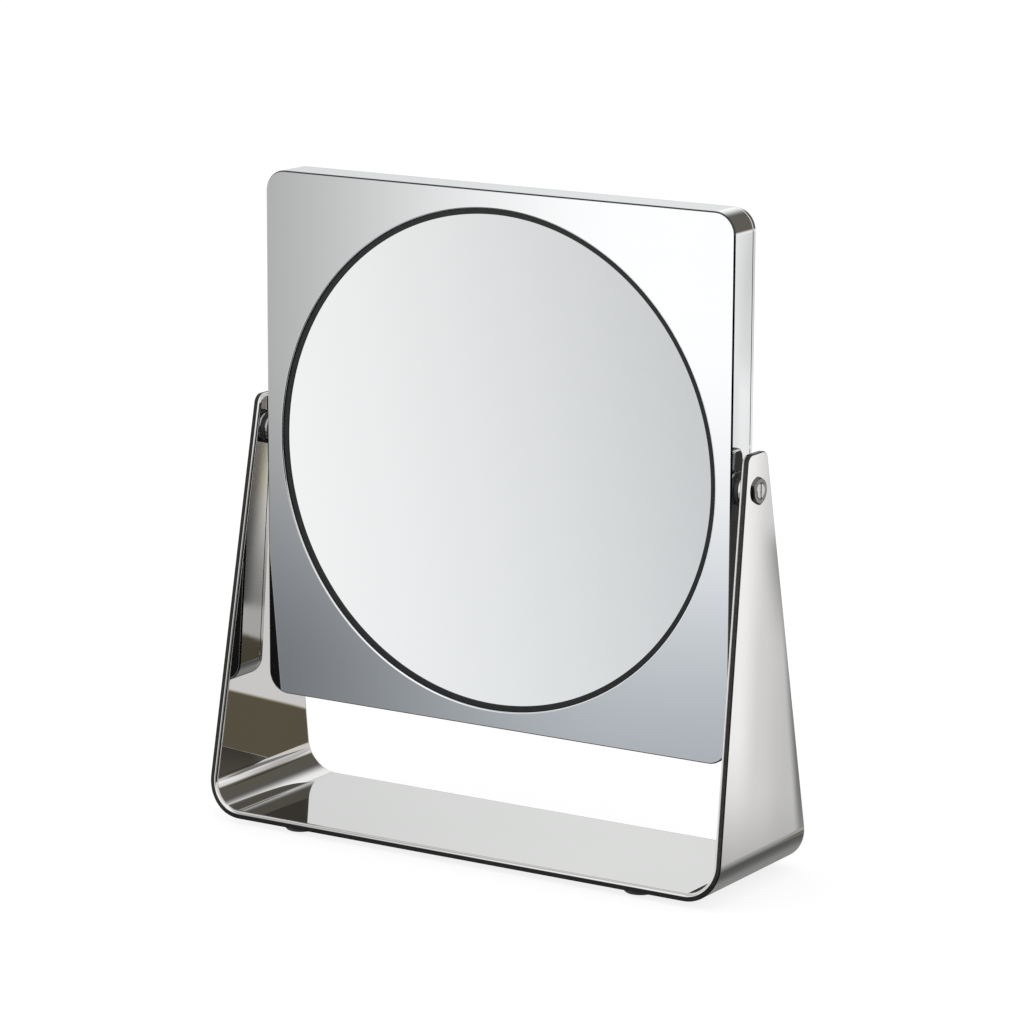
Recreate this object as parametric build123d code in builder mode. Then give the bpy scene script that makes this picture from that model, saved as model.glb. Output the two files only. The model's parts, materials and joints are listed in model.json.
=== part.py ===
"""Tilting square stand mirror: a double-sided mirror head in a bent sheet-metal U stand.

Millimetres. +Z is up, +X is the right-hand side seen from the front, and the front faces -Y.
The origin is on the floor, under the middle of the stand.
"""
from build123d import *
from math import atan, cos, sin, sqrt
import os

os.makedirs("parts", exist_ok=True)

# ---------------------------------------------------------------- driving dimensions

# stand
BASE_WIDTH = 189.5          # across the two arms' outer faces, extended down to the underside
BASE_DEPTH = 56.0
SHEET = 2.5
BEND_RADIUS = 12.0          # outside of the sheet
PIVOT_RISE = 122.9          # from the base plate's underside up to the pivot axis
ARM_SPAN_AT_PIVOT = 181.45  # across the arms' outer faces at the pivot
ARM_DEPTH_AT_PIVOT = 15.45
ARM_TOP_RISE = 11.6         # arm above the pivot axis
ARM_TOP_RADIUS = 3.2

# feet
FOOT_RADIUS = 5.0
FOOT_HEIGHT = 1.8
FOOT_CHAMFER = 0.35
FOOT_X = 63.0
FOOT_Y = 20.5

# mirror head
HEAD_SIZE = 170.0
HEAD_DEPTH = 13.0
HEAD_CORNER = 7.0
HEAD_DROP = 0.5             # head's centre below the pivot axis, so that its weight rights it
EDGE_CHAMFER = 0.45
WALL = 2.0
REAR_COVER_DEPTH = 2.0
JOINT_LINE = 0.2            # chamfer on each side of the shell's parting line
OPENING_RADIUS = 79.2
GLASS_RADIUS = 78.0
GLASS_RECESS = 1.1
GLASS_THICKNESS = 2.4
MAGNIFIER_RADIUS = 1000.0   # radius of the concave front glass
PAD_RADIUS = 60.0
PAD_GAP = 0.02

# gaskets, L-shaped, with a lip over the glass's rim and a flange behind the plate
GASKET_LIP_RADIUS = 77.4
GASKET_LIP = 0.3
GASKET_FLANGE_RADIUS = 81.0
GASKET_FLANGE = 0.7
GASKET_GAP = 0.05

# inner core
CORE_WEB = 1.8
CORE_WALL = 1.5
CORE_CLEARANCE = 0.3
CORE_WELL_RADIUS = 81.2     # room for a glass and its gasket, in front and behind
BOSS_REACH = 76.6           # inner end of a pivot boss, from the middle of the head
BOSS_HEIGHT = 12.0
BOSS_WALL = 0.2             # in front of the bush and behind it

# the four core screws, and the four pegs that hold the rear cover
SCREW_PITCH = 146.0
SCREW_RADIUS = 1.25
SCREW_GAP = 0.03
SCREW_HEAD_RADIUS = 2.3
SCREW_HEAD = 1.2
SCREW_BITE = 3.0
SCREW_HOLE_GAP = 0.15
CROSS_WIDTH = 0.6
CROSS_LENGTH = 2.76
CROSS_DEPTH = 0.6
PILLAR_RADIUS = 3.0
PEG_RADIUS = 1.5
PEG_PITCH = 130.0
PEG_LENGTH = 2.6

# pivots
JOURNAL_RADIUS = 2.0
JOURNAL_FIT = 0.05          # radial running clearance
JOURNAL_SETBACK = 0.6       # journal's end inside the bush's end
BUSH_RADIUS = 2.6
COLLAR_RADIUS = 4.9
COLLAR_LENGTH = 1.25
WASHER_RADIUS = 5.3
WASHER_BORE_RADIUS = 2.75
THRUST_WASHER = 1.1
THRUST_GAP = 0.1            # between the thrust washer and the head's side
THREAD_RADIUS = 2.5
ARM_HOLE_RADIUS = 2.7
NUT_FLATS = 7.5
NUT_HEIGHT = 0.8
NUT_CONE = 60               # degrees from the nut's axis
NUT_TURN = 30               # degrees, stands two of the nut's corners above each other
STUD_PROUD = 0.1            # stud's end beyond the nut
STUD_CHAMFER = 0.25
NUT_THREAD_GAP = 0.08
SLOT_WIDTH = 0.7
SLOT_DEPTH = 0.7
SLOT_LENGTH = 5.5           # more than the thread's diameter, so the slot runs right across

# ---------------------------------------------------------------- worked-out dimensions

BASE_UNDERSIDE = FOOT_HEIGHT
BASE_TOP = BASE_UNDERSIDE + SHEET
PIVOT_Z = BASE_UNDERSIDE + PIVOT_RISE
HEAD_Z = PIVOT_Z - HEAD_DROP
ARM_TOP_Z = PIVOT_Z + ARM_TOP_RISE

LEAN_SLOPE = (BASE_WIDTH - ARM_SPAN_AT_PIVOT) / 2 / PIVOT_RISE
LEAN = atan(LEAN_SLOPE)
TAPER_SLOPE = (BASE_DEPTH - ARM_DEPTH_AT_PIVOT) / 2 / (PIVOT_Z - BASE_TOP)
ARM_TOP_DEPTH = ARM_DEPTH_AT_PIVOT - 2 * TAPER_SLOPE * ARM_TOP_RISE
ARM_TOP_X = ARM_SPAN_AT_PIVOT / 2 - LEAN_SLOPE * ARM_TOP_RISE
ARM_OUTER_X = ARM_SPAN_AT_PIVOT / 2

FRONT_Y = -HEAD_DEPTH / 2
REAR_Y = HEAD_DEPTH / 2
SIDE_X = HEAD_SIZE / 2
FACE_BACK_Y = FRONT_Y + WALL
COVER_FRONT_Y = REAR_Y - REAR_COVER_DEPTH
FRONT_GLASS_Y = FRONT_Y + GLASS_RECESS
REAR_GLASS_Y = REAR_Y - GLASS_RECESS
MAGNIFIER_SAG = MAGNIFIER_RADIUS - sqrt(MAGNIFIER_RADIUS**2 - GLASS_RADIUS**2)
FRONT_GLASS_BACK_Y = FRONT_GLASS_Y + MAGNIFIER_SAG + GLASS_THICKNESS
REAR_GLASS_BACK_Y = REAR_GLASS_Y - GLASS_THICKNESS
WEB_FRONT_Y = (FRONT_GLASS_BACK_Y + REAR_GLASS_BACK_Y - CORE_WEB) / 2
WEB_REAR_Y = WEB_FRONT_Y + CORE_WEB
CORE_SIZE = HEAD_SIZE - 2 * WALL - 2 * CORE_CLEARANCE
CORE_FRONT_Y = FACE_BACK_Y + CORE_CLEARANCE
CORE_REAR_Y = COVER_FRONT_Y - CORE_CLEARANCE
CORE_CORNER = HEAD_CORNER - WALL
BOSS_DEPTH = 2 * (BUSH_RADIUS + BOSS_WALL)
JOURNAL_END_X = BOSS_REACH + JOURNAL_SETBACK

THRUST_INNER_X = SIDE_X + THRUST_GAP
COLLAR_INNER_X = THRUST_INNER_X + THRUST_WASHER
COLLAR_OUTER_X = COLLAR_INNER_X + COLLAR_LENGTH
NUT_OUTER_X = ARM_OUTER_X + NUT_HEIGHT
STUD_END_X = NUT_OUTER_X + STUD_PROUD

HEAD_AXIS = Axis((0, 0, HEAD_Z), (0, 1, 0))
SIDES = {"left": -1, "right": 1}
ENDS = {"front": -1, "rear": 1}


def face_plane(y):
    """Sketch plane facing the rear at depth y, centred on the mirror head."""
    return Plane(origin=(0, y, HEAD_Z), x_dir=(1, 0, 0), z_dir=(0, 1, 0))


def axle_plane(side, x):
    """Sketch plane across the pivot axis at distance x from the middle, facing outwards."""
    return Plane(origin=(side * x, 0, PIVOT_Z), x_dir=(0, 1, 0), z_dir=(side, 0, 0))


def arm_plane(side):
    """Plane of an arm's outer face where the pivot axis crosses it, facing outwards."""
    outward = (side * cos(LEAN), 0, sin(LEAN))
    return Plane(origin=(side * ARM_OUTER_X, 0, PIVOT_Z), x_dir=(0, 1, 0), z_dir=outward)


def finish(piece, name):
    """Label a finished piece and write its STEP file."""
    piece.label = name
    export_step(piece, f"parts/{name}.step")


# ---------------------------------------------------------------- stand bracket

# The sheet's outer line, seen from the front, then the sheet's thickness inside it.
outer_line = [
    (-ARM_TOP_X, ARM_TOP_Z),
    (-BASE_WIDTH / 2, BASE_UNDERSIDE),
    (BASE_WIDTH / 2, BASE_UNDERSIDE),
    (ARM_TOP_X, ARM_TOP_Z),
]

# The sheet's outline, seen from the side.
side_outline = [
    (-BASE_DEPTH / 2, BASE_UNDERSIDE),
    (-BASE_DEPTH / 2, BASE_TOP),
    (-ARM_TOP_DEPTH / 2, ARM_TOP_Z),
    (ARM_TOP_DEPTH / 2, ARM_TOP_Z),
    (BASE_DEPTH / 2, BASE_TOP),
    (BASE_DEPTH / 2, BASE_UNDERSIDE),
]

with BuildPart() as stand_bracket:
    with BuildSketch(Plane.XZ):
        with BuildLine():
            FilletPolyline(*outer_line, radius=BEND_RADIUS)
            offset(amount=SHEET, side=Side.LEFT)
        make_face()
    extrude(amount=BASE_DEPTH / 2, both=True)
    with BuildSketch(Plane.YZ):
        with BuildLine():
            Polyline(*side_outline, close=True)
        make_face()
        top_corners = vertices().group_by(Axis.Y)[-1]
        fillet(top_corners, radius=ARM_TOP_RADIUS)
    extrude(amount=BASE_WIDTH, both=True, mode=Mode.INTERSECT)
    with BuildSketch(axle_plane(-1, 0)):
        Circle(ARM_HOLE_RADIUS)
    extrude(amount=BASE_WIDTH, both=True, mode=Mode.SUBTRACT)
finish(stand_bracket.part, "stand_bracket")

# ---------------------------------------------------------------- feet

for end, y_sign in ENDS.items():
    for side, x_sign in SIDES.items():
        with BuildPart() as foot:
            with BuildSketch():
                with Locations((x_sign * FOOT_X, y_sign * FOOT_Y)):
                    Circle(FOOT_RADIUS)
            extrude(amount=FOOT_HEIGHT)
            chamfer(foot.edges().group_by(Axis.Z)[0], length=FOOT_CHAMFER)
        finish(foot.part, f"foot_{end}_{side}")

# ---------------------------------------------------------------- pivots, one at each side

for side, x_sign in SIDES.items():
    # inner face of the arm, as a plane to trim the parts that bear on it
    inner_face = arm_plane(x_sign).offset(-SHEET)

    with BuildPart() as pivot_stud:
        with BuildSketch(axle_plane(x_sign, JOURNAL_END_X)):
            Circle(JOURNAL_RADIUS)
        extrude(amount=COLLAR_INNER_X - JOURNAL_END_X)
        with BuildSketch(axle_plane(x_sign, COLLAR_INNER_X)):
            Circle(COLLAR_RADIUS)
        extrude(amount=COLLAR_LENGTH)
        with BuildSketch(axle_plane(x_sign, COLLAR_OUTER_X)):
            Circle(THREAD_RADIUS)
        extrude(amount=STUD_END_X - COLLAR_OUTER_X)
        tip = pivot_stud.faces().sort_by(Axis.X)[-1 if x_sign > 0 else 0]
        chamfer(tip.edges(), length=STUD_CHAMFER)
        with BuildSketch(axle_plane(x_sign, STUD_END_X)):
            Rectangle(SLOT_WIDTH, SLOT_LENGTH)
        extrude(amount=-SLOT_DEPTH, mode=Mode.SUBTRACT)
    finish(pivot_stud.part, f"pivot_stud_{side}")

    with BuildPart() as hex_nut:
        with BuildSketch(arm_plane(x_sign)):
            RegularPolygon(NUT_FLATS / 2, 6, major_radius=False, rotation=NUT_TURN)
        extrude(amount=NUT_HEIGHT)
        # the cone that rounds the hexagon's corners off at its outer face
        with BuildSketch(arm_plane(x_sign).offset(NUT_HEIGHT)):
            Circle(NUT_FLATS / 2)
        extrude(amount=-NUT_HEIGHT, taper=-NUT_CONE, mode=Mode.INTERSECT)
        with BuildSketch(arm_plane(x_sign)):
            Circle(THREAD_RADIUS + NUT_THREAD_GAP)
        extrude(amount=NUT_HEIGHT, mode=Mode.SUBTRACT)
    finish(hex_nut.part, f"hex_nut_{side}")

    with BuildPart() as arm_washer:
        with BuildSketch(axle_plane(x_sign, COLLAR_OUTER_X)):
            Circle(WASHER_RADIUS)
            Circle(WASHER_BORE_RADIUS, mode=Mode.SUBTRACT)
        extrude(amount=ARM_OUTER_X - COLLAR_OUTER_X)
        split(bisect_by=inner_face, keep=Keep.BOTTOM)
    finish(arm_washer.part, f"arm_washer_{side}")

    with BuildPart() as thrust_washer:
        with BuildSketch(axle_plane(x_sign, THRUST_INNER_X)):
            Circle(WASHER_RADIUS)
            Circle(JOURNAL_RADIUS + JOURNAL_FIT, mode=Mode.SUBTRACT)
        extrude(amount=THRUST_WASHER)
    finish(thrust_washer.part, f"thrust_washer_{side}")

    with BuildPart() as pivot_bush:
        with BuildSketch(axle_plane(x_sign, BOSS_REACH)):
            Circle(BUSH_RADIUS)
        extrude(amount=SIDE_X - BOSS_REACH)
        with BuildSketch(axle_plane(x_sign, BOSS_REACH)):
            Circle(JOURNAL_RADIUS + JOURNAL_FIT)
        extrude(amount=SIDE_X - BOSS_REACH, mode=Mode.SUBTRACT)
    finish(pivot_bush.part, f"pivot_bush_{side}")

# ---------------------------------------------------------------- front shell

with BuildPart() as front_shell:
    with BuildSketch(face_plane(FRONT_Y)):
        RectangleRounded(HEAD_SIZE, HEAD_SIZE, HEAD_CORNER)
    extrude(amount=HEAD_DEPTH - REAR_COVER_DEPTH)
    chamfer(front_shell.edges().group_by(Axis.Y)[0], length=EDGE_CHAMFER)
    chamfer(front_shell.edges().group_by(Axis.Y)[-1], length=JOINT_LINE)
    with BuildSketch(face_plane(FACE_BACK_Y)):
        RectangleRounded(HEAD_SIZE - 2 * WALL, HEAD_SIZE - 2 * WALL, CORE_CORNER)
    extrude(amount=HEAD_DEPTH, mode=Mode.SUBTRACT)
    with BuildSketch(face_plane(FRONT_Y)):
        Circle(OPENING_RADIUS)
    extrude(amount=WALL, mode=Mode.SUBTRACT)
    # pillars that take the core's screws
    with BuildSketch(face_plane(FACE_BACK_Y)):
        with GridLocations(SCREW_PITCH, SCREW_PITCH, 2, 2):
            Circle(PILLAR_RADIUS)
    extrude(amount=WEB_FRONT_Y - FACE_BACK_Y)
    with BuildSketch(face_plane(WEB_FRONT_Y)):
        with GridLocations(SCREW_PITCH, SCREW_PITCH, 2, 2):
            Circle(SCREW_RADIUS)
    extrude(amount=-SCREW_BITE, mode=Mode.SUBTRACT)
    # holes for the bushes
    with BuildSketch(axle_plane(1, 0)):
        Circle(BUSH_RADIUS)
    extrude(amount=HEAD_SIZE, both=True, mode=Mode.SUBTRACT)
finish(front_shell.part, "front_shell")

# ---------------------------------------------------------------- rear cover

with BuildPart() as rear_cover:
    with BuildSketch(face_plane(COVER_FRONT_Y)):
        RectangleRounded(HEAD_SIZE, HEAD_SIZE, HEAD_CORNER)
        Circle(OPENING_RADIUS, mode=Mode.SUBTRACT)
    extrude(amount=REAR_COVER_DEPTH)
    chamfer(rear_cover.faces().sort_by(Axis.Y)[-1].outer_wire().edges(), length=EDGE_CHAMFER)
    chamfer(rear_cover.faces().sort_by(Axis.Y)[0].outer_wire().edges(), length=JOINT_LINE)
    with BuildSketch(face_plane(COVER_FRONT_Y)):
        with GridLocations(PEG_PITCH, PEG_PITCH, 2, 2):
            Circle(PEG_RADIUS)
    extrude(amount=-PEG_LENGTH)
finish(rear_cover.part, "rear_cover")

# ---------------------------------------------------------------- gaskets

# The L section is drawn once, for the front; the rear one is its mirror image.
gasket_section = [
    (GASKET_LIP_RADIUS, FRONT_GLASS_Y - GASKET_LIP),
    (OPENING_RADIUS - GASKET_GAP, FRONT_GLASS_Y - GASKET_LIP),
    (OPENING_RADIUS - GASKET_GAP, FACE_BACK_Y),
    (GASKET_FLANGE_RADIUS, FACE_BACK_Y),
    (GASKET_FLANGE_RADIUS, FACE_BACK_Y + GASKET_FLANGE),
    (GLASS_RADIUS + GASKET_GAP, FACE_BACK_Y + GASKET_FLANGE),
    (GLASS_RADIUS + GASKET_GAP, FRONT_GLASS_Y),
    (GASKET_LIP_RADIUS, FRONT_GLASS_Y),
]

for end, y_sign in ENDS.items():
    with BuildPart() as gasket:
        with BuildSketch(Plane.XY.offset(HEAD_Z)):
            with BuildLine():
                Polyline(*[(x, -y_sign * y) for x, y in gasket_section], close=True)
            make_face()
        revolve(axis=HEAD_AXIS)
    finish(gasket.part, f"{end}_gasket")

# ---------------------------------------------------------------- glasses

with BuildPart() as front_glass:
    with BuildSketch(Plane.XY.offset(HEAD_Z)):
        with BuildLine():
            concave = TangentArc(
                (0, FRONT_GLASS_Y + MAGNIFIER_SAG),
                (GLASS_RADIUS, FRONT_GLASS_Y),
                tangent=(1, 0),
            )
            rim = Line(concave @ 1, (GLASS_RADIUS, FRONT_GLASS_Y + GLASS_THICKNESS))
            back = TangentArc((0, FRONT_GLASS_BACK_Y), rim @ 1, tangent=(1, 0))
            Line(back @ 0, concave @ 0)
        make_face()
    revolve(axis=HEAD_AXIS)
finish(front_glass.part, "front_glass")

with BuildPart() as rear_glass:
    with BuildSketch(face_plane(REAR_GLASS_BACK_Y)):
        Circle(GLASS_RADIUS)
    extrude(amount=GLASS_THICKNESS)
finish(rear_glass.part, "rear_glass")

# ---------------------------------------------------------------- adhesive pads

pad_edge_y = FRONT_GLASS_BACK_Y - MAGNIFIER_SAG * (PAD_RADIUS / GLASS_RADIUS) ** 2 + PAD_GAP

with BuildPart() as front_pad:
    with BuildSketch(Plane.XY.offset(HEAD_Z)):
        with BuildLine():
            domed = TangentArc(
                (0, FRONT_GLASS_BACK_Y + PAD_GAP),
                (PAD_RADIUS, pad_edge_y),
                tangent=(1, 0),
            )
            Polyline(domed @ 1, (PAD_RADIUS, WEB_FRONT_Y), (0, WEB_FRONT_Y), domed @ 0)
        make_face()
    revolve(axis=HEAD_AXIS)
finish(front_pad.part, "front_pad")

with BuildPart() as rear_pad:
    with BuildSketch(face_plane(WEB_REAR_Y)):
        Circle(PAD_RADIUS)
    extrude(amount=REAR_GLASS_BACK_Y - WEB_REAR_Y)
finish(rear_pad.part, "rear_pad")

# ---------------------------------------------------------------- core frame

with BuildPart() as core_frame:
    # rim walls in front of and behind the web
    with BuildSketch(face_plane(CORE_FRONT_Y)):
        RectangleRounded(CORE_SIZE, CORE_SIZE, CORE_CORNER)
        RectangleRounded(
            CORE_SIZE - 2 * CORE_WALL,
            CORE_SIZE - 2 * CORE_WALL,
            CORE_CORNER - CORE_WALL,
            mode=Mode.SUBTRACT,
        )
        with BuildSketch(mode=Mode.PRIVATE) as well_ring:
            Circle(CORE_WELL_RADIUS + CORE_WALL)
            Rectangle(CORE_SIZE, CORE_SIZE, mode=Mode.INTERSECT)
        add(well_ring.sketch)
        with GridLocations(SCREW_PITCH, SCREW_PITCH, 2, 2):
            Circle(PILLAR_RADIUS + CORE_CLEARANCE + CORE_WALL)
        with GridLocations(PEG_PITCH, PEG_PITCH, 2, 2):
            Circle(PEG_RADIUS + CORE_WALL)
        Circle(CORE_WELL_RADIUS, mode=Mode.SUBTRACT)
    extrude(amount=CORE_REAR_Y - CORE_FRONT_Y)
    # web between the two glasses
    with BuildSketch(face_plane(WEB_FRONT_Y)):
        RectangleRounded(CORE_SIZE, CORE_SIZE, CORE_CORNER)
    extrude(amount=CORE_WEB)
    # pivot bosses
    for x_sign in SIDES.values():
        with BuildSketch(axle_plane(x_sign, BOSS_REACH)):
            Rectangle(BOSS_DEPTH, BOSS_HEIGHT)
        extrude(amount=CORE_SIZE / 2 - BOSS_REACH)
        with BuildSketch(axle_plane(x_sign, BOSS_REACH)):
            Circle(BUSH_RADIUS)
        extrude(amount=SIDE_X - BOSS_REACH, mode=Mode.SUBTRACT)
    # sockets for the shell's pillars, the screws and their heads
    with BuildSketch(face_plane(CORE_FRONT_Y)):
        with GridLocations(SCREW_PITCH, SCREW_PITCH, 2, 2):
            Circle(PILLAR_RADIUS + CORE_CLEARANCE)
    extrude(amount=WEB_FRONT_Y - CORE_FRONT_Y, mode=Mode.SUBTRACT)
    with BuildSketch(face_plane(WEB_REAR_Y)):
        with GridLocations(SCREW_PITCH, SCREW_PITCH, 2, 2):
            Circle(SCREW_HEAD_RADIUS + CORE_CLEARANCE)
    extrude(amount=CORE_REAR_Y - WEB_REAR_Y, mode=Mode.SUBTRACT)
    with BuildSketch(face_plane(CORE_FRONT_Y)):
        with GridLocations(SCREW_PITCH, SCREW_PITCH, 2, 2):
            Circle(SCREW_RADIUS + SCREW_HOLE_GAP)
    extrude(amount=CORE_REAR_Y - CORE_FRONT_Y, mode=Mode.SUBTRACT)
    # sockets for the rear cover's pegs
    with BuildSketch(face_plane(CORE_REAR_Y)):
        with GridLocations(PEG_PITCH, PEG_PITCH, 2, 2):
            Circle(PEG_RADIUS + SCREW_GAP)
    extrude(amount=-PEG_LENGTH, mode=Mode.SUBTRACT)
finish(core_frame.part, "core_frame")

# ---------------------------------------------------------------- core screws

with BuildPart() as core_screws:
    with BuildSketch(face_plane(WEB_REAR_Y)):
        with GridLocations(SCREW_PITCH, SCREW_PITCH, 2, 2):
            Circle(SCREW_RADIUS - SCREW_GAP)
    extrude(amount=-(CORE_WEB + SCREW_BITE - CORE_CLEARANCE))
    with BuildSketch(face_plane(WEB_REAR_Y)):
        with GridLocations(SCREW_PITCH, SCREW_PITCH, 2, 2):
            Circle(SCREW_HEAD_RADIUS)
    extrude(amount=SCREW_HEAD)
    with BuildSketch(face_plane(WEB_REAR_Y + SCREW_HEAD)):
        with GridLocations(SCREW_PITCH, SCREW_PITCH, 2, 2):
            Rectangle(CROSS_WIDTH, CROSS_LENGTH)
            Rectangle(CROSS_LENGTH, CROSS_WIDTH)
    extrude(amount=-CROSS_DEPTH, mode=Mode.SUBTRACT)
finish(core_screws.part, "core_screws")
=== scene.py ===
import bpy
import json
from math import atan, atan2, cos, degrees, hypot, pi, radians, sin, sqrt, tan
from mathutils import Matrix, Vector


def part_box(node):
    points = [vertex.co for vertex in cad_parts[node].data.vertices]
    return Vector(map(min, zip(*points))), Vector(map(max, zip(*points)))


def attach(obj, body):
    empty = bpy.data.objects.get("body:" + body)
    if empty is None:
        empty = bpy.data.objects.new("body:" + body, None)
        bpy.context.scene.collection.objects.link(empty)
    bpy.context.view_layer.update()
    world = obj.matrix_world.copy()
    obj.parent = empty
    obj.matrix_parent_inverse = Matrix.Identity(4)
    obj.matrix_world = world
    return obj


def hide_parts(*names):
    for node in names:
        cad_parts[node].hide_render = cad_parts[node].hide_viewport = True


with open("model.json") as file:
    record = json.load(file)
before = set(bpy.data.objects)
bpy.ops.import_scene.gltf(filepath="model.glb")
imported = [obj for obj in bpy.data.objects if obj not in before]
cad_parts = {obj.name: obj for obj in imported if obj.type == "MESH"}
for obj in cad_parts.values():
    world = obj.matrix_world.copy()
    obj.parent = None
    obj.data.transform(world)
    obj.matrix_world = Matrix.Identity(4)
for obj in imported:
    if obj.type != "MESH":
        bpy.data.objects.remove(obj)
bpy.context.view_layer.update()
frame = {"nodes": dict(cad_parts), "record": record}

MM = 0.001

# ---------------------------------------------------------------- sizes, in millimetres

SHEET = 2.5
BEND_RADIUS = 12.0
ARM_TOP_RADIUS = 3.2
OUTER_EDGE_RADIUS = 0.35
INNER_EDGE_RADIUS = 1.0
LEAN = radians(1.875)

HEAD_CORNER = 7.0
EDGE_CHAMFER = 0.45
CHAMFER_SOFTNESS = 0.12
WALL = 2.0
REAR_COVER_DEPTH = 2.0
JOINT_LINE = 0.2
OPENING_RADIUS = 79.2
OPENING_SOFTNESS = 0.5
GLASS_RADIUS = 78.0
GLASS_RECESS = 1.1
GLASS_THICKNESS = 2.4
MAGNIFIER_RADIUS = 1000.0
GASKET_LIP_RADIUS = 77.4
GASKET_LIP = 0.3
GASKET_FLANGE_RADIUS = 81.0
GASKET_FLANGE = 0.7
GASKET_GAP = 0.05
LIP_SOFTNESS = 0.14

# ---------------------------------------------------------------- places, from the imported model

stand_low, stand_high = (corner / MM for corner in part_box("stand_bracket"))
shell_low, shell_high = (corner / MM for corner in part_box("front_shell"))
cover_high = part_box("rear_cover")[1] / MM

BASE_DEPTH = stand_high.y - stand_low.y
BASE_UNDERSIDE = stand_low.z
BASE_TOP = BASE_UNDERSIDE + SHEET
ARM_TOP_Z = stand_high.z
BASE_HALF_WIDTH = stand_high.x

FRONT_Y = shell_low.y
REAR_Y = cover_high.y
HEAD_HALF = shell_high.x
HEAD_Z = (shell_low.z + shell_high.z) / 2
COVER_FRONT_Y = REAR_Y - REAR_COVER_DEPTH
FACE_BACK_Y = FRONT_Y + WALL
FRONT_GLASS_Y = FRONT_Y + GLASS_RECESS
REAR_GLASS_Y = REAR_Y - GLASS_RECESS


# ---------------------------------------------------------------- node arithmetic

class Field:
    """A socket in a node tree that can be added, multiplied and mapped."""

    def __init__(self, tree, socket):
        self.tree = tree
        self.socket = socket

    def math(self, operation, *others):
        node = self.tree.nodes.new("ShaderNodeMath")
        node.operation = operation
        for place, term in enumerate([self, *others]):
            if isinstance(term, Field):
                self.tree.links.new(term.socket, node.inputs[place])
            else:
                node.inputs[place].default_value = term
        return Field(self.tree, node.outputs[0])

    def __add__(self, other):
        return self.math("ADD", other)

    def __sub__(self, other):
        return self.math("SUBTRACT", other)

    def __mul__(self, other):
        return self.math("MULTIPLY", other)

    __radd__ = __add__
    __rmul__ = __mul__

    def step(self, start, end, low=0.0, high=1.0):
        """Goes smoothly from low, where this field is at start, to high, where it is at end."""
        node = self.tree.nodes.new("ShaderNodeMapRange")
        node.interpolation_type = "SMOOTHSTEP"
        rising = end > start
        self.tree.links.new(self.socket, node.inputs["Value"])
        node.inputs["From Min"].default_value = start if rising else end
        node.inputs["From Max"].default_value = end if rising else start
        node.inputs["To Min"].default_value = low if rising else high
        node.inputs["To Max"].default_value = high if rising else low
        return Field(self.tree, node.outputs["Result"])

    def band(self, start, end, soft):
        """1 between start and end, and 0 outside, with soft edges."""
        return self.step(start - soft, start) * self.step(end, end + soft, 1.0, 0.0)

    def blend(self, low, high):
        """The term low where this field is 0, and high where it is 1."""
        return (high - low) * self + low if isinstance(high, Field) else (low * -1.0 + high) * self + low


def separate(tree, socket):
    node = tree.nodes.new("ShaderNodeSeparateXYZ")
    tree.links.new(socket, node.inputs[0])
    return [Field(tree, node.outputs[axis]) for axis in range(3)]


def ramp(tree, field, low_colour, high_colour):
    """A colour from low_colour to high_colour as the field goes from 0 to 1."""
    node = tree.nodes.new("ShaderNodeMix")
    node.data_type = "RGBA"
    tree.links.new(field.socket, node.inputs["Factor"])
    node.inputs["A"].default_value = (*low_colour, 1.0)
    node.inputs["B"].default_value = (*high_colour, 1.0)
    return node.outputs["Result"]


def retint(tree, colour, field, other):
    """The colour where the field is 0, and the other colour where it is 1."""
    result = ramp(tree, field, other, other)
    tree.links.new(colour, result.node.inputs["A"])
    return result


def new_material(name):
    material = bpy.data.materials.new(name)
    material.use_nodes = True
    material.node_tree.nodes.clear()
    return material, material.node_tree


def noise(tree, scale, detail=2.0, stretch=(1.0, 1.0, 1.0), roughness=0.5):
    """Noise in the object's own frame, in features per millimetre times scale."""
    place = tree.nodes.new("ShaderNodeTexCoord")
    mapping = tree.nodes.new("ShaderNodeMapping")
    mapping.inputs["Scale"].default_value = stretch
    tree.links.new(place.outputs["Object"], mapping.inputs["Vector"])
    texture = tree.nodes.new("ShaderNodeTexNoise")
    texture.inputs["Scale"].default_value = scale / MM
    texture.inputs["Detail"].default_value = detail
    texture.inputs["Roughness"].default_value = roughness
    tree.links.new(mapping.outputs["Vector"], texture.inputs["Vector"])
    return Field(tree, texture.outputs["Fac"])


def surface_material(name, low, high, tone_scale, roughness, metallic=1.0, grain=None, height=0.0,
                     stretch=(1.0, 1.0, 1.0), coat=0.0, specular=0.5):
    """A surface whose colour, roughness and height vary a little with noise."""
    material, tree = new_material(name)
    shader = tree.nodes.new("ShaderNodeBsdfPrincipled")
    output = tree.nodes.new("ShaderNodeOutputMaterial")
    tree.links.new(shader.outputs["BSDF"], output.inputs["Surface"])
    shader.inputs["Metallic"].default_value = metallic
    shader.inputs["Coat Weight"].default_value = coat
    shader.inputs["Specular IOR Level"].default_value = specular
    tone = noise(tree, tone_scale, 3.0, stretch)
    tree.links.new(ramp(tree, tone, low, high), shader.inputs["Base Color"])
    rough = noise(tree, tone_scale * 3, 4.0, stretch, 0.6).step(0.25, 0.75, *roughness)
    tree.links.new(rough.socket, shader.inputs["Roughness"])
    if height:
        bump = tree.nodes.new("ShaderNodeBump")
        bump.inputs["Distance"].default_value = height * MM
        tree.links.new(noise(tree, grain, 3.0, stretch).socket, bump.inputs["Height"])
        tree.links.new(bump.outputs["Normal"], shader.inputs["Normal"])
    return material


# ---------------------------------------------------------------- materials

steel = surface_material("polished_steel", (0.72, 0.713, 0.70), (0.75, 0.743, 0.73), 0.03, (0.006, 0.014))
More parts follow.
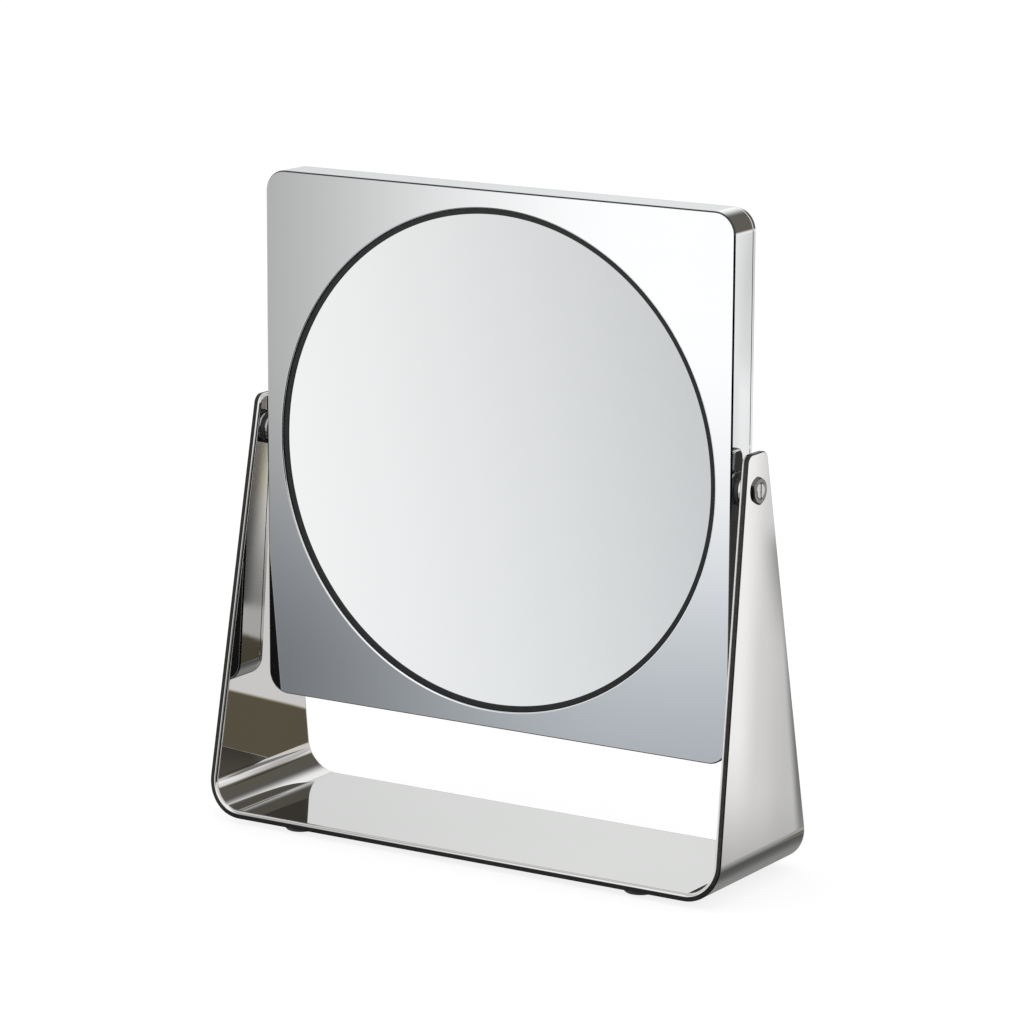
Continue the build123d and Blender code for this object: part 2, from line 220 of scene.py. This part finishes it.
# the cut edge, the nuts and the head's chamfer are painted darker than the metal, as they look in the photo:
# painted dark reflections of the dark room round them; the cut edge's roughness and grain are its own
cut_edge_painted_dark = surface_material("steel_cut_edge_painted_dark_reflection", (0.03, 0.029, 0.027), (0.065, 0.064, 0.06), 0.6, (0.22, 0.38),
                              grain=2.0, height=0.02, stretch=(1.0, 3.0, 1.0))
nut_steel_painted_dark = surface_material("nut_steel_painted_dark_reflection", (0.14, 0.138, 0.134), (0.30, 0.295, 0.29), 0.5, (0.16, 0.3),
                             grain=1.5, height=0.01)
chrome = surface_material("bright_chrome", (0.85, 0.855, 0.862), (0.868, 0.873, 0.88), 0.02, (0.02, 0.035))
chrome_chamfer_painted_dark = surface_material("chrome_chamfer_painted_dark_reflection", (0.04, 0.042, 0.046), (0.08, 0.083, 0.09), 0.2,
                               (0.12, 0.2))
mirror = surface_material("mirror_glass", (0.895, 0.905, 0.905), (0.91, 0.92, 0.92), 0.01, (0.0, 0.012))
hardware = surface_material("nickel_steel", (0.66, 0.655, 0.64), (0.76, 0.755, 0.74), 0.3, (0.12, 0.22),
                            grain=1.5, height=0.01)
nylon = surface_material("black_nylon", (0.012, 0.012, 0.013), (0.03, 0.03, 0.032), 0.5, (0.35, 0.5), 0.0,
                         grain=3.0, height=0.03)
gasket_black = surface_material("black_gasket", (0.008, 0.008, 0.009), (0.02, 0.02, 0.021), 0.4, (0.28, 0.4),
                                metallic=0.0, grain=2.0, height=0.02, specular=0.3)
rubber = surface_material("foot_rubber", (0.015, 0.015, 0.015), (0.04, 0.04, 0.04), 0.5, (0.55, 0.75), 0.0,
                          grain=2.0, height=0.05)
foam = surface_material("white_foam", (0.74, 0.74, 0.72), (0.86, 0.86, 0.84), 0.8, (0.8, 0.95), 0.0,
                        grain=3.0, height=0.1)
moulding = surface_material("dark_moulding", (0.09, 0.09, 0.092), (0.14, 0.14, 0.142), 0.4, (0.4, 0.55), 0.0,
                            grain=4.0, height=0.03)


# ---------------------------------------------------------------- mesh tools

class Skin:
    """A closed mesh made of strips between rows of points, each strip with its own exact normals."""

    def __init__(self):
        self.points = []
        self.faces = []
        self.normals = []
        self.looks = []

    def row(self, points):
        first = len(self.points)
        self.points.extend(points)
        return list(range(first, len(self.points)))

    def face(self, corners, normals, look):
        """Adds a face, turned so that it faces the way its normals do."""
        a, b, c = (self.points[i] for i in corners[:3])
        turned = (b - a).cross(c - a)
        if len(corners) > 3:
            turned += (c - a).cross(self.points[corners[3]] - a)
        if turned.dot(sum(normals, Vector())) < 0:
            corners, normals = corners[::-1], normals[::-1]
        self.faces.append(corners)
        self.normals.extend(normals)
        self.looks.append(look)

    def strip(self, row_a, row_b, normals_a, normals_b, look=0, closed=True):
        count = len(row_a)
        for i in range(count if closed else count - 1):
            j = (i + 1) % count
            self.face([row_a[i], row_a[j], row_b[j], row_b[i]],
                      [normals_a[i], normals_a[j], normals_b[j], normals_b[i]], look)

    def fan(self, row, middle, normals, middle_normal, look=0):
        """Closes a row of points to one point in the middle."""
        for i in range(len(row)):
            j = (i + 1) % len(row)
            self.face([row[i], row[j], middle], [normals[i], normals[j], middle_normal], look)

    def build(self, name, materials):
        mesh = bpy.data.meshes.new(name)
        mesh.from_pydata([p * MM for p in self.points], [], self.faces)
        for material in materials:
            mesh.materials.append(material)
        mesh.polygons.foreach_set("material_index", self.looks)
        mesh.polygons.foreach_set("use_smooth", [True] * len(self.faces))
        mesh.normals_split_custom_set([n.normalized() for n in self.normals])
        mesh.update()
        piece = bpy.data.objects.new(name, mesh)
        bpy.context.scene.collection.objects.link(piece)
        return piece


def place(piece, body, slot, *nodes):
    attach(piece, body)
    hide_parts(*nodes)


FILLET_STEPS = 5


def round_profile(corners):
    """Rounds a closed profile's corners. Each corner is (kind, outward, along, radius, look), and its look is
    the material from that corner to the next. Returns (kind, outward, along) points, and for each point the
    normal before and after it and the look after it."""
    count = len(corners)
    made = []
    for i in range(count):
        kind, a, b, radius, look = corners[i]
        _, pa, pb, _, look_before = corners[i - 1]
        _, na, nb, _, _ = corners[(i + 1) % count]
        incoming = Vector((a - pa, b - pb)).normalized()
        outgoing = Vector((na - a, nb - b)).normalized()
        before = Vector((incoming.y, -incoming.x))
        after = Vector((outgoing.y, -outgoing.x))
        if not radius:
            made.append(((kind, a, b), before, after, look))
            continue
        turn = incoming.angle(outgoing)
        reach = radius * tan(turn / 2)
        start = Vector((a, b)) - incoming * reach
        convex = incoming.x * outgoing.y - incoming.y * outgoing.x > 0
        inward = -before if convex else before
        centre = start + inward * radius
        for k in range(FILLET_STEPS + 1):
            share = k / FILLET_STEPS
            normal = before.slerp(after, share)
            point = centre + (normal if convex else -normal) * radius
            last = k == FILLET_STEPS
            made.append(((kind, point.x, point.y), normal, normal, look if last else look_before))
    return made


# ---------------------------------------------------------------- the stand's bent sheet

def sheet_line():
    """Stations on the middle of the sheet's thickness, from the left arm's top to the right arm's top.
    Each is (point, direction, outward) in the XZ plane."""
    middle_radius = BEND_RADIUS - SHEET / 2
    bend_x = BASE_HALF_WIDTH - BEND_RADIUS
    bend_z = BASE_UNDERSIDE + BEND_RADIUS
    stations = []
    for k in range(BEND_STEPS + 1):
        angle = -pi / 2 + (pi / 2 + LEAN) * k / BEND_STEPS
        outward = Vector((cos(angle), 0, sin(angle)))
        along = Vector((-sin(angle), 0, cos(angle)))
        stations.append((Vector((bend_x, 0, bend_z)) + outward * middle_radius, along, outward))
    return stations


BEND_STEPS = 40
ARM_STEPS = 8
CORNER_STEPS = 10
ARM_DEPTH_AT_PIVOT = 15.45
PIVOT_Z = 124.7
TAPER = (BASE_DEPTH - ARM_DEPTH_AT_PIVOT) / 2 / (PIVOT_Z - BASE_TOP)


def half_depth(z):
    """Half of the sheet's depth at height z."""
    return BASE_DEPTH / 2 - max(0.0, z - BASE_TOP) * TAPER


def right_half():
    """Outline stations of the right half, from the middle of the base to the arm's top.
    Each is (point, along, outward, half depth, the edge normal's share along and sideways)."""
    stations = []
    bend = sheet_line()
    start = bend[0][0]
    stations.append((Vector((0, 0, start.z)), bend[0][1], bend[0][2]))
    stations.extend(bend)
    top_point, along, outward = bend[-1]
    top_reach = (ARM_TOP_Z - abs(SHEET / 2 * sin(LEAN)) - top_point.z) / cos(LEAN)
    edge_slope = TAPER * cos(LEAN)
    corner_start = top_reach - ARM_TOP_RADIUS
    flat_reach = corner_start + ARM_TOP_RADIUS * edge_slope / hypot(1, edge_slope)
    for k in range(1, ARM_STEPS + 1):
        stations.append((top_point + along * (flat_reach * k / ARM_STEPS), along, outward))
    outline = []
    for point, direction, out in stations:
        slope = TAPER * direction.z if point.z > BASE_TOP else 0.0
        length = hypot(1, slope)
        outline.append((point, direction, out, half_depth(point.z), slope / length, 1 / length))
    centre_point = top_point + along * corner_start
    centre_depth = half_depth(centre_point.z) - ARM_TOP_RADIUS * hypot(1, edge_slope)
    first_angle = atan2(1, edge_slope)
    for k in range(1, CORNER_STEPS + 1):
        angle = first_angle * (1 - k / CORNER_STEPS)
        point = centre_point + along * (ARM_TOP_RADIUS * cos(angle))
        depth = centre_depth + ARM_TOP_RADIUS * sin(angle)
        outline.append((point, along, out, depth, cos(angle), sin(angle)))
    return outline


def mirrored(station):
    point, along, outward, depth, lengthwise, sideways = station
    flip = Vector((-1, 1, 1))
    return (point * flip, along * Vector((1, 1, -1)), outward * flip, depth, -lengthwise, sideways)


def build_stand():
    half = right_half()
    chain = [mirrored(s) for s in half[:0:-1]] + half
    skin = Skin()

    def fillet(radius):
        """Points from a face of the sheet round to its edge.
        Each is (inset, lift off the middle, normal's share sideways, normal's share outward)."""
        angles = [pi / 2 * k / FILLET_STEPS for k in range(FILLET_STEPS + 1)]
        return [(radius * (1 - sin(a)), SHEET / 2 - radius * (1 - cos(a)), sin(a), cos(a)) for a in angles]

    profile = fillet(OUTER_EDGE_RADIUS)
    profile += [(inset, -up, side, -lift) for inset, up, side, lift in reversed(fillet(INNER_EDGE_RADIUS))]
    rows = []
    for inset, up, side, lift in profile:
        points, normals = [], []
        for front in (True, False):
            for point, along, outward, depth, lengthwise, sideways in (chain if front else reversed(chain)):
                across = Vector((0, -1 if front else 1, 0))
                edge = along * lengthwise + across * sideways
                points.append(point + across * depth - edge * inset + outward * up)
                normals.append(edge * side + outward * lift)
        rows.append((skin.row(points), normals))
    for i, ((row_a, normals_a), (row_b, normals_b)) in enumerate(zip(rows, rows[1:])):
        # the cut edge and its outer rounding take the steel painted dark, a painted dark reflection
        skin.strip(row_a, row_b, normals_a, normals_b, 1 if i <= FILLET_STEPS else 0)
    count = len(chain)
    for row, normals in (rows[0], rows[-1]):
        for i in range(count - 1):
            a, b, c, d = i, i + 1, 2 * count - 2 - i, 2 * count - 1 - i
            skin.face([row[a], row[b], row[c], row[d]], [normals[a], normals[b], normals[c], normals[d]], 0)
    return skin.build("stand_sheet", [steel, cut_edge_painted_dark])


place(build_stand(), "stand", "polished_steel", "stand_bracket")


# ---------------------------------------------------------------- head pieces swept round the square or circle

SIDE_STEPS = 86
HEAD_CORNER_STEPS = 24
GLASS_RINGS = 24


def head_stations():
    """Places round the head, matched between the square outline and a circle.
    Each is (point on the square outline, the square's outward direction, the circle's outward direction)."""
    flat = HEAD_HALF - HEAD_CORNER
    edge_angle = atan(flat / HEAD_HALF)
    stations = []
    for quarter in range(4):
        turn = Matrix.Rotation(quarter * pi / 2, 2)
        for k in range(SIDE_STEPS):
            angle = -edge_angle + 2 * edge_angle * k / SIDE_STEPS
            stations.append((turn @ Vector((HEAD_HALF, HEAD_HALF * tan(angle))), turn @ Vector((1, 0)),
                             turn @ Vector((cos(angle), sin(angle)))))
        for k in range(HEAD_CORNER_STEPS):
            angle = pi / 2 * k / HEAD_CORNER_STEPS
            polar = edge_angle + (pi / 2 - 2 * edge_angle) * k / HEAD_CORNER_STEPS
            outward = Vector((cos(angle), sin(angle)))
            stations.append((turn @ (Vector((flat, flat)) + outward * HEAD_CORNER), turn @ outward,
                             turn @ Vector((cos(polar), sin(polar)))))
    return stations


def sweep(name, corners, materials, stations):
    """A closed piece with this profile, swept round the head's axis."""
    skin = Skin()
    profile = round_profile(corners)
    rows = []
    for (kind, outward, along), _, _, _ in profile:
        points = []
        for square, square_out, circle_out in stations:
            flat = circle_out * outward if kind == "circle" else square - square_out * (HEAD_HALF - outward)
            points.append(Vector((flat.x, along, HEAD_Z + flat.y)))
        rows.append(skin.row(points))

    def spread(kind, normal):
        """The profile's normal at every station."""
        out = [c if kind == "circle" else s for _, s, c in stations]
        return [Vector((o.x * normal.x, normal.y, o.y * normal.x)) for o in out]

    for i, ((kind, _, _), _, after, look) in enumerate(profile):
        j = (i + 1) % len(profile)
        (next_kind, _, _), before, _, _ = profile[j]
        skin.strip(rows[i], rows[j], spread(kind, after), spread(next_kind, before), look)
    return skin.build(name, materials)


stations = head_stations()

shell_rear = COVER_FRONT_Y
# the front chamfer (look 1) takes the chrome painted dark, a painted dark reflection
shell_profile = [
    ("circle", OPENING_RADIUS, FACE_BACK_Y, 0, 0),
    ("circle", OPENING_RADIUS, FRONT_Y, OPENING_SOFTNESS, 0),
    ("square", HEAD_HALF - EDGE_CHAMFER, FRONT_Y, CHAMFER_SOFTNESS, 1),
    ("square", HEAD_HALF, FRONT_Y + EDGE_CHAMFER, CHAMFER_SOFTNESS, 0),
    ("square", HEAD_HALF, shell_rear - JOINT_LINE, 0, 0),
    ("square", HEAD_HALF - JOINT_LINE, shell_rear, 0, 0),
    ("square", HEAD_HALF - WALL, shell_rear, 0, 0),
    ("square", HEAD_HALF - WALL, FACE_BACK_Y, 0, 0),
]
place(sweep("head_front_shell", shell_profile, [chrome, chrome_chamfer_painted_dark], stations), "mirror_head",
      "chromed_plastic", "front_shell")

# the rear chamfer (look 1) takes the chrome painted dark, a painted dark reflection
cover_profile = [
    ("circle", OPENING_RADIUS, REAR_Y, OPENING_SOFTNESS, 0),
    ("circle", OPENING_RADIUS, COVER_FRONT_Y, 0, 0),
    ("square", HEAD_HALF - JOINT_LINE, COVER_FRONT_Y, 0, 0),
    ("square", HEAD_HALF, COVER_FRONT_Y + JOINT_LINE, 0, 0),
    ("square", HEAD_HALF, REAR_Y - EDGE_CHAMFER, CHAMFER_SOFTNESS, 1),
    ("square", HEAD_HALF - EDGE_CHAMFER, REAR_Y, CHAMFER_SOFTNESS, 0),
]
place(sweep("head_rear_cover", cover_profile, [chrome, chrome_chamfer_painted_dark], stations), "mirror_head",
      "chromed_plastic", "rear_cover")


def mirror_profile(corners):
    """The same closed profile on the rear side."""
    looks = [look for *_, look in corners]
    return [(kind, a, -b, radius, looks[i - 1]) for i, (kind, a, b, radius, _) in enumerate(corners)][::-1]


gasket_profile = [
    ("circle", GASKET_LIP_RADIUS, FRONT_GLASS_Y - GASKET_LIP, LIP_SOFTNESS, 0),
    ("circle", OPENING_RADIUS - GASKET_GAP, FRONT_GLASS_Y - GASKET_LIP, LIP_SOFTNESS, 0),
    ("circle", OPENING_RADIUS - GASKET_GAP, FACE_BACK_Y, 0, 0),
    ("circle", GASKET_FLANGE_RADIUS, FACE_BACK_Y, 0, 0),
    ("circle", GASKET_FLANGE_RADIUS, FACE_BACK_Y + GASKET_FLANGE, 0, 0),
    ("circle", GLASS_RADIUS + GASKET_GAP, FACE_BACK_Y + GASKET_FLANGE, 0, 0),
    ("circle", GLASS_RADIUS + GASKET_GAP, FRONT_GLASS_Y, 0, 0),
    ("circle", GASKET_LIP_RADIUS, FRONT_GLASS_Y, 0, 0),
]
for end, profile in (("front", gasket_profile), ("rear", mirror_profile(gasket_profile))):
    place(sweep(f"{end}_gasket_ring", profile, [gasket_black], stations), "mirror_head", "black_gasket",
          f"{end}_gasket")


def lens(name, rim_y, thickness, bend_radius):
    """A round glass with its rim at rim_y. Its face is hollowed with radius bend_radius, or flat for 0.
    A negative thickness puts the back in front of the face."""
    skin = Skin()
    facing = Vector((0, -1 if thickness > 0 else 1, 0))

    def sheet_rows(shift, outward):
        rows = []
        for k in range(1, GLASS_RINGS + 1):
            reach = GLASS_RADIUS * k / GLASS_RINGS
            dish = 0.0
            if bend_radius:
                dish = sqrt(bend_radius**2 - reach**2) - sqrt(bend_radius**2 - GLASS_RADIUS**2)
            tilt = reach / bend_radius if bend_radius else 0.0
            depth = rim_y + dish + shift
            points = [Vector((c.x * reach, depth, HEAD_Z + c.y * reach)) for _, _, c in stations]
            normals = [(facing - Vector((c.x, 0, c.y)) * tilt).normalized() * outward for _, _, c in stations]
            rows.append((skin.row(points), normals))
        dish = bend_radius - sqrt(bend_radius**2 - GLASS_RADIUS**2) if bend_radius else 0.0
        for (row_a, normals_a), (row_b, normals_b) in zip(rows, rows[1:]):
            skin.strip(row_a, row_b, normals_a, normals_b)
        middle = skin.row([Vector((0, rim_y + dish + shift, HEAD_Z))])[0]
        skin.fan(rows[0][0], middle, rows[0][1], facing * outward)
        return rows[-1][0]

    face_rim = sheet_rows(0.0, 1)
    back_rim = sheet_rows(thickness, -1)
    outward = [Vector((c.x, 0, c.y)) for _, _, c in stations]
    skin.strip(face_rim, back_rim, outward, outward)
    return skin.build(name, [mirror])


place(lens("front_magnifying_glass", FRONT_GLASS_Y, GLASS_THICKNESS, MAGNIFIER_RADIUS), "mirror_head",
      "mirror_glass", "front_glass")
place(lens("rear_plain_glass", REAR_GLASS_Y, -GLASS_THICKNESS, 0), "mirror_head",
      "mirror_glass", "rear_glass")

# ---------------------------------------------------------------- carried-over CAD nodes

CAD_LOOKS = {
    "polished_steel": steel, "chromed_plastic": chrome, "mirror_glass": mirror, "hardware_steel": hardware,
    "black_nylon": nylon, "black_gasket": gasket_black, "foot_rubber": rubber, "foam_pad": foam,
    "core_plastic": moulding,
}
for part in frame["record"]["subparts"]:
    node = frame["nodes"][part["node"]]
    node.data.materials.clear()
    # nuts take the steel painted dark, a painted dark reflection
    is_nut = part["node"].startswith("hex_nut")
    node.data.materials.append(nut_steel_painted_dark if is_nut else CAD_LOOKS[part["material_slot"]])

# ---------------------------------------------------------------- camera

CAMERA_AZIMUTH = radians(32.076)
CAMERA_ELEVATION = radians(12.268)
CAMERA_DISTANCE = 1417.654
CAMERA_ASIDE = 2.766
CAMERA_ABOVE = -16.447
CAMERA_ROLL = radians(0.254)
CAMERA_LENS = 160.232
CAMERA_SENSOR = 36
CLIP_NEAR = 0.05
CLIP_FAR = 100

back = Vector((sin(CAMERA_AZIMUTH) * cos(CAMERA_ELEVATION), -cos(CAMERA_AZIMUTH) * cos(CAMERA_ELEVATION),
               sin(CAMERA_ELEVATION)))
right = Vector((cos(CAMERA_AZIMUTH), sin(CAMERA_AZIMUTH), 0))
above = back.cross(right)
head_centre = Vector((0, 0, HEAD_Z))
eye = head_centre + back * CAMERA_DISTANCE + right * CAMERA_ASIDE + above * CAMERA_ABOVE

camera = bpy.data.objects.new("camera", bpy.data.cameras.new("camera"))
bpy.context.scene.collection.objects.link(camera)
camera.data.lens = CAMERA_LENS
camera.data.sensor_width = CAMERA_SENSOR
turned_right = right * cos(CAMERA_ROLL) + above * sin(CAMERA_ROLL)
turned_above = above * cos(CAMERA_ROLL) - right * sin(CAMERA_ROLL)
pose = Matrix((turned_right, turned_above, back)).transposed().to_4x4()
pose.translation = eye * MM
camera.matrix_world = pose
camera.data.clip_start = CLIP_NEAR
camera.data.clip_end = CLIP_FAR
bpy.context.scene.camera = camera

# ---------------------------------------------------------------- light tent, floor and world

# The tent is a lit ball that only reflections see. Its bands of light and dark stand in for the photo's room,
# and were set against the levels that the photo shows on each face.
# azimuth and rear are the direction in degrees from the front and from the rear, both towards the right.
# height is the sine of the direction's elevation.
TENT_RADIUS = 890.0
tent_material, tree = new_material("light_tent")
place_node = tree.nodes.new("ShaderNodeTexCoord")
x, y, z = separate(tree, place_node.outputs["Object"])
azimuth = x.math("ARCTAN2", y * -1.0) * degrees(1.0)
height = z * (1 / (TENT_RADIUS * MM))
rear = x.math("ARCTAN2", y) * degrees(1.0)

# all round: dark underfoot and bright above, with a white wall at the left, brightest low down
level = height.step(-0.8, -0.1, 0.06, 0.8)
level = (azimuth.band(-150, -50, 4) * height.band(-0.5, 0.5, 0.15)).blend(level, 0.94)
level = (azimuth.band(-105, -66, 6) * height.band(-0.6, 0.02, 0.1)).blend(level, 1.3)

# front left: the soft panel that the front plate and the glass reflect
panel_left = height.step(-0.13, -0.32, 1.0, 0.42)
panel_right = height.step(-0.13, -0.39, 1.0, 0.42)
panel_fall = azimuth.step(-39, -25).blend(panel_left, panel_right)
panel_zone = azimuth.band(-46, 14, 5)
level = panel_zone.blend(level, azimuth.step(-42.5, -27.5, 0.42, 1.15) * panel_fall)

# right: nearly black to the front right, and dim on both sides of it
level = (azimuth.band(22, 75, 5) * height.band(-0.55, 0.04, 0.05)).blend(level, 0.01)
level = (azimuth.band(-16, 22, 4) * height.band(-0.55, 0.05, 0.05)).blend(level, 0.28)
level = (azimuth.band(75, 140, 4) * height.band(-0.55, -0.15, 0.05)).blend(level, 0.15)

# rear: the dark under the table's edge, and the dark at the left
bottom_zone = rear.band(-45, 45, 10) * height.step(-0.4, -0.5)
level = bottom_zone.blend(level, rear.step(28, 5, 0.12, 0.28))
level = (rear.band(-40, -12, 4) * height.band(-0.44, 0.02, 0.04)).blend(level, 0.05)

# rear right: a bright panel, brightest along its far side, that fades at its foot
PANEL_SLANT = 7.0
slanted = rear + height * PANEL_SLANT
glare = slanted.step(33.1, 33.9, 0, 0.3) * height.step(-0.29, -0.345, 1.0, 0.25)
panel = slanted.step(32.2, 33.2, 0.7, 0.84) + glare
panel = panel * height.step(-0.14, -0.07, 1.0, 0.8)
panel = panel + rear.band(33.2, 34.05, 0.15) * height.band(-0.18, -0.15, 0.03) * 0.16
sharp_side = rear.step(34.02, 34.28, 0.33, 1.0)
soft_side = rear.step(33.95, 34.85, 0.35, 1.0)
near_side = height.step(-0.26, -0.2).blend(sharp_side, soft_side)
panel = height.step(-0.18, -0.2).blend(panel, panel * near_side)
panel = height.step(-0.38, -0.32).blend(height.step(-0.36, -0.52, 0.46, 0.12), panel)
level = (rear.step(31.3, 31.9) * rear.step(40, 50, 1.0, 0.0)).blend(level, panel)

# behind: a light wall that ends at a brown table
shaded = rear.step(28.98, 28.85) * height.step(-0.383, -0.376)
shade = rear.step(28.75, 28.0, 0.08, 0.56) * height.step(-0.375, -0.3, 0.85, 2.8)
wall = shaded.blend(0.77, shade)
wall = height.step(-0.2, -0.12).blend(wall, 0.92)
TABLE_SLOPE = 0.0025
tabletop = (height - rear * TABLE_SLOPE).step(-0.4652, -0.4672)
wall = tabletop.blend(wall, 0.105)
wall_zone = rear.step(31.9, 31.3) * rear.step(26.5, 27.3) * height.step(-0.46, -0.43)
level = wall_zone.blend(level, wall)

# rear and above: dark at the right, bright at the left
upper_zone = rear.band(-60, 50, 10) * height.step(0.0, 0.11) * height.step(0.68, 0.6)
level = upper_zone.blend(level, rear.step(10, -25, 0.12, 1.1) * rear.step(-37, -50, 1.0, 0.72))
level = (rear.band(29.9, 31.5, 0.5) * height.band(0.125, 0.17, 0.03)).blend(level, 0.06)
left_wall = rear.band(-60, -21, 4) * height.band(0.09, 0.26, 0.03)
level = left_wall.blend(level, rear.step(-41, -28, 0.83, 0.91) * height.step(0.185, 0.215, 1.0, 0.92))

# colours: cool where the front panel fades and at the rear left, warm at the upper right and on the wall,
# and brown on the table
tone = ramp(tree, panel_zone * panel_fall.step(1.0, 0.42), (1.0, 1.0, 1.0), (0.945, 1.0, 1.06))
tone = retint(tree, tone, left_wall, (0.98, 1.0, 1.0))
tone = retint(tree, tone, upper_zone * rear.step(-5, 25), (1.07, 1.0, 0.83))
warm_wall = wall_zone * height.step(-0.34, -0.3) * height.step(-0.2, -0.25)
tone = retint(tree, tone, warm_wall, (1.04, 1.0, 0.84))
tone = retint(tree, tone, wall_zone * tabletop, (1.15, 1.0, 0.70))
emission = tree.nodes.new("ShaderNodeEmission")
tree.links.new(tone, emission.inputs["Color"])
tree.links.new(level.socket, emission.inputs["Strength"])
output = tree.nodes.new("ShaderNodeOutputMaterial")
tree.links.new(emission.outputs[0], output.inputs["Surface"])


def sphere(name, radius, centre, material):
    """A fine ball built from rings of points, shaded smooth."""
    skin = Skin()
    rings, around = 32, 64
    rows = []
    for i in range(1, rings):
        tilt = pi * i / rings
        turns = [2 * pi * k / around for k in range(around)]
        ring = [Vector((sin(tilt) * cos(turn), sin(tilt) * sin(turn), cos(tilt))) for turn in turns]
        rows.append((skin.row([p * radius for p in ring]), ring))
    for (row_a, normals_a), (row_b, normals_b) in zip(rows, rows[1:]):
        skin.strip(row_a, row_b, normals_a, normals_b)
    for (row, normals), pole in ((rows[0], Vector((0, 0, 1))), (rows[-1], Vector((0, 0, -1)))):
        skin.fan(row, skin.row([pole * radius])[0], normals, pole)
    ball = skin.build(name, [material])
    ball.location = centre * MM
    return ball


tent = sphere("light_tent", TENT_RADIUS, head_centre, tent_material)
for seen_by in ("camera", "diffuse", "transmission", "volume_scatter", "shadow"):
    setattr(tent, f"visible_{seen_by}", False)

FLOOR_GLOW = 0.82
floor_material, tree = new_material("pale_floor")
shader = tree.nodes.new("ShaderNodeBsdfDiffuse")
glow = tree.nodes.new("ShaderNodeEmission")
glow.inputs["Strength"].default_value = FLOOR_GLOW
both = tree.nodes.new("ShaderNodeAddShader")
output = tree.nodes.new("ShaderNodeOutputMaterial")
tree.links.new(shader.outputs[0], both.inputs[0])
tree.links.new(glow.outputs[0], both.inputs[1])
tree.links.new(both.outputs[0], output.inputs["Surface"])
tree.links.new(ramp(tree, noise(tree, 0.002), (0.2, 0.2, 0.2), (0.22, 0.22, 0.22)), shader.inputs["Color"])
FLOOR_REACH = 30000.0
skin = Skin()
floor_corners = ((-1, -1), (1, -1), (1, 1), (-1, 1))
row = skin.row([Vector((sx * FLOOR_REACH, sy * FLOOR_REACH, 0)) for sx, sy in floor_corners])
skin.face(row, [Vector((0, 0, 1))] * 4, 0)
floor = skin.build("floor", [floor_material])
floor.visible_glossy = False

WORLD_STRENGTH = 1.04
world = bpy.data.worlds.new("studio")
world.use_nodes = True
bpy.context.scene.world = world
world.node_tree.nodes["Background"].inputs["Color"].default_value = (1, 1, 1, 1)
world.node_tree.nodes["Background"].inputs["Strength"].default_value = WORLD_STRENGTH
bpy.context.scene.view_settings.view_transform = "Standard"
